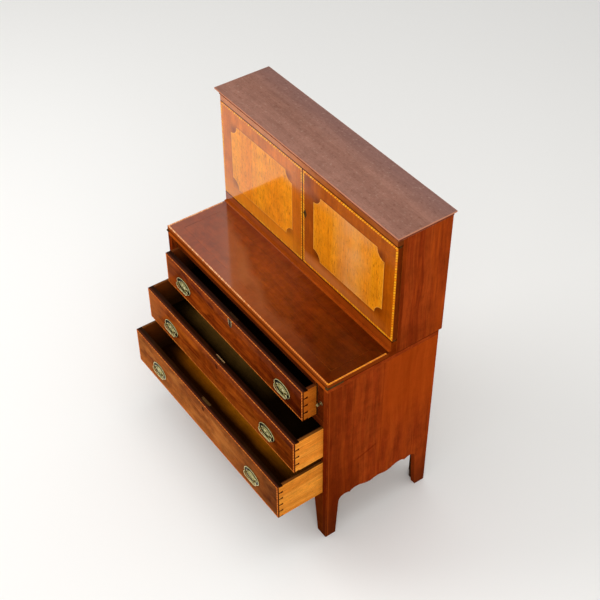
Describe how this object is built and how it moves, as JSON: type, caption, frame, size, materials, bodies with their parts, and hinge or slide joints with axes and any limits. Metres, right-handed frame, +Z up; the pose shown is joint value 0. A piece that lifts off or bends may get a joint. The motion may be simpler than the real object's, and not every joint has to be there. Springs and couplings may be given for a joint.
{
  "type": "writing cabinet",
  "caption": "Stepped writing cabinet: inlaid cupboard over a fold-over writing leaf, with lopers and long dovetailed drawers on bail handles, standing on shaped bracket feet",
  "frame": {"origin": "on the floor, at the middle of the bounding box with the drawers pulled out as they rest", "axes": "+X to the right seen from the front, +Y to the back, +Z up"},
  "size_m": [0.924, 0.6184, 1.188],
  "materials": {
    "mahogany": "polished",
    "crossbanding": "polished",
    "satinwood": "polished",
    "oak": "waxed",
    "pine": "dry",
    "leather": "worn",
    "brass": "aged"
  },
  "bodies": {
    "carcass": {"side_left": "mahogany", "side_right": "mahogany", "sub_top": "mahogany", "front_apron": "mahogany", "case_bottom": "pine", "lower_back": "pine", "drawer_rails": "mahogany", "drawer_runners": "pine", "loper_partitions": "pine", "foot_brackets": "pine", "upper_side_left": "mahogany", "upper_side_right": "mahogany", "top_board": "mahogany", "frieze_rail": "mahogany", "base_rail": "mahogany", "cupboard_floor": "pine", "upper_back": "pine", "pigeonholes": "pine", "top_leather": "leather", "table_hinges_fixed": "brass", "door_hinges_fixed": "brass"},
    "writing_leaf": {"leaf": "mahogany", "leaf_banding": "crossbanding", "leaf_leather": "leather", "table_hinges_leaf": "brass"},
    "left_door": {"door_left": "mahogany", "door_left_banding": "crossbanding", "door_left_panel": "satinwood", "door_left_hinges": "brass"},
    "right_door": {"door_right": "mahogany", "door_right_banding": "crossbanding", "door_right_panel": "satinwood", "door_right_hinges": "brass", "door_lock": "brass"},
    "left_loper": {"loper_left": "mahogany", "loper_left_knob": "brass"},
    "right_loper": {"loper_right": "mahogany", "loper_right_knob": "brass"},
    "drawer_1": {"drawer_1_front": "mahogany", "drawer_1_box": "oak", "drawer_1_bottom": "oak", "drawer_1_lock": "brass", "drawer_1_handle_plates": "brass"},
    "drawer_1_bail_left": {"drawer_1_bail_left": "brass"},
    "drawer_1_bail_right": {"drawer_1_bail_right": "brass"},
    "drawer_2": {"drawer_2_front": "mahogany", "drawer_2_box": "oak", "drawer_2_bottom": "oak", "drawer_2_lock": "brass", "drawer_2_handle_plates": "brass"},
    "drawer_2_bail_left": {"drawer_2_bail_left": "brass"},
    "drawer_2_bail_right": {"drawer_2_bail_right": "brass"},
    "drawer_3": {"drawer_3_front": "mahogany", "drawer_3_box": "oak", "drawer_3_bottom": "oak", "drawer_3_lock": "brass", "drawer_3_handle_plates": "brass"},
    "drawer_3_bail_left": {"drawer_3_bail_left": "brass"},
    "drawer_3_bail_right": {"drawer_3_bail_right": "brass"}
  },
  "joints": [
    {"name": "leaf_hinge", "type": "hinge", "parent": "carcass", "child": "writing_leaf", "pos_m": [0, -0.12515, 0.7202], "axis": [1, 0, 0], "range_deg": [0, 180]},
    {"name": "left_door_hinge", "type": "hinge", "parent": "carcass", "child": "left_door", "pos_m": [-0.4466, 0.11915, 0.96], "axis": [0, 0, -1], "range_deg": [0, 150]},
    {"name": "right_door_hinge", "type": "hinge", "parent": "carcass", "child": "right_door", "pos_m": [0.4466, 0.11915, 0.96], "axis": [0, 0, 1], "range_deg": [0, 150]},
    {"name": "left_loper_slide", "type": "slide", "parent": "carcass", "child": "left_loper", "axis": [0, -1, 0], "range_m": [0, 0.212]},
    {"name": "right_loper_slide", "type": "slide", "parent": "carcass", "child": "right_loper", "axis": [0, -1, 0], "range_m": [0, 0.212]},
    {"name": "drawer_1_slide", "type": "slide", "parent": "carcass", "child": "drawer_1", "axis": [0, -1, 0], "range_m": [-0.048, 0.252]},
    {"name": "drawer_1_bail_left_hinge", "type": "hinge", "parent": "drawer_1", "child": "drawer_1_bail_left", "pos_m": [-0.284, -0.18035, 0.6099], "axis": [-1, 0, 0], "range_deg": [0, 95]},
    {"name": "drawer_1_bail_right_hinge", "type": "hinge", "parent": "drawer_1", "child": "drawer_1_bail_right", "pos_m": [0.284, -0.18035, 0.6099], "axis": [-1, 0, 0], "range_deg": [0, 95]},
    {"name": "drawer_2_slide", "type": "slide", "parent": "carcass", "child": "drawer_2", "axis": [0, -1, 0], "range_m": [-0.109, 0.191]},
    {"name": "drawer_2_bail_left_hinge", "type": "hinge", "parent": "drawer_2", "child": "drawer_2_bail_left", "pos_m": [-0.284, -0.24135, 0.4519], "axis": [-1, 0, 0], "range_deg": [0, 95]},
    {"name": "drawer_2_bail_right_hinge", "type": "hinge", "parent": "drawer_2", "child": "drawer_2_bail_right", "pos_m": [0.284, -0.24135, 0.4519], "axis": [-1, 0, 0], "range_deg": [0, 95]},
    {"name": "drawer_3_slide", "type": "slide", "parent": "carcass", "child": "drawer_3", "axis": [0, -1, 0], "range_m": [-0.172, 0.128]},
    {"name": "drawer_3_bail_left_hinge", "type": "hinge", "parent": "drawer_3", "child": "drawer_3_bail_left", "pos_m": [-0.284, -0.30435, 0.2824], "axis": [-1, 0, 0], "range_deg": [0, 95]},
    {"name": "drawer_3_bail_right_hinge", "type": "hinge", "parent": "drawer_3", "child": "drawer_3_bail_right", "pos_m": [0.284, -0.30435, 0.2824], "axis": [-1, 0, 0], "range_deg": [0, 95]}
  ]
}
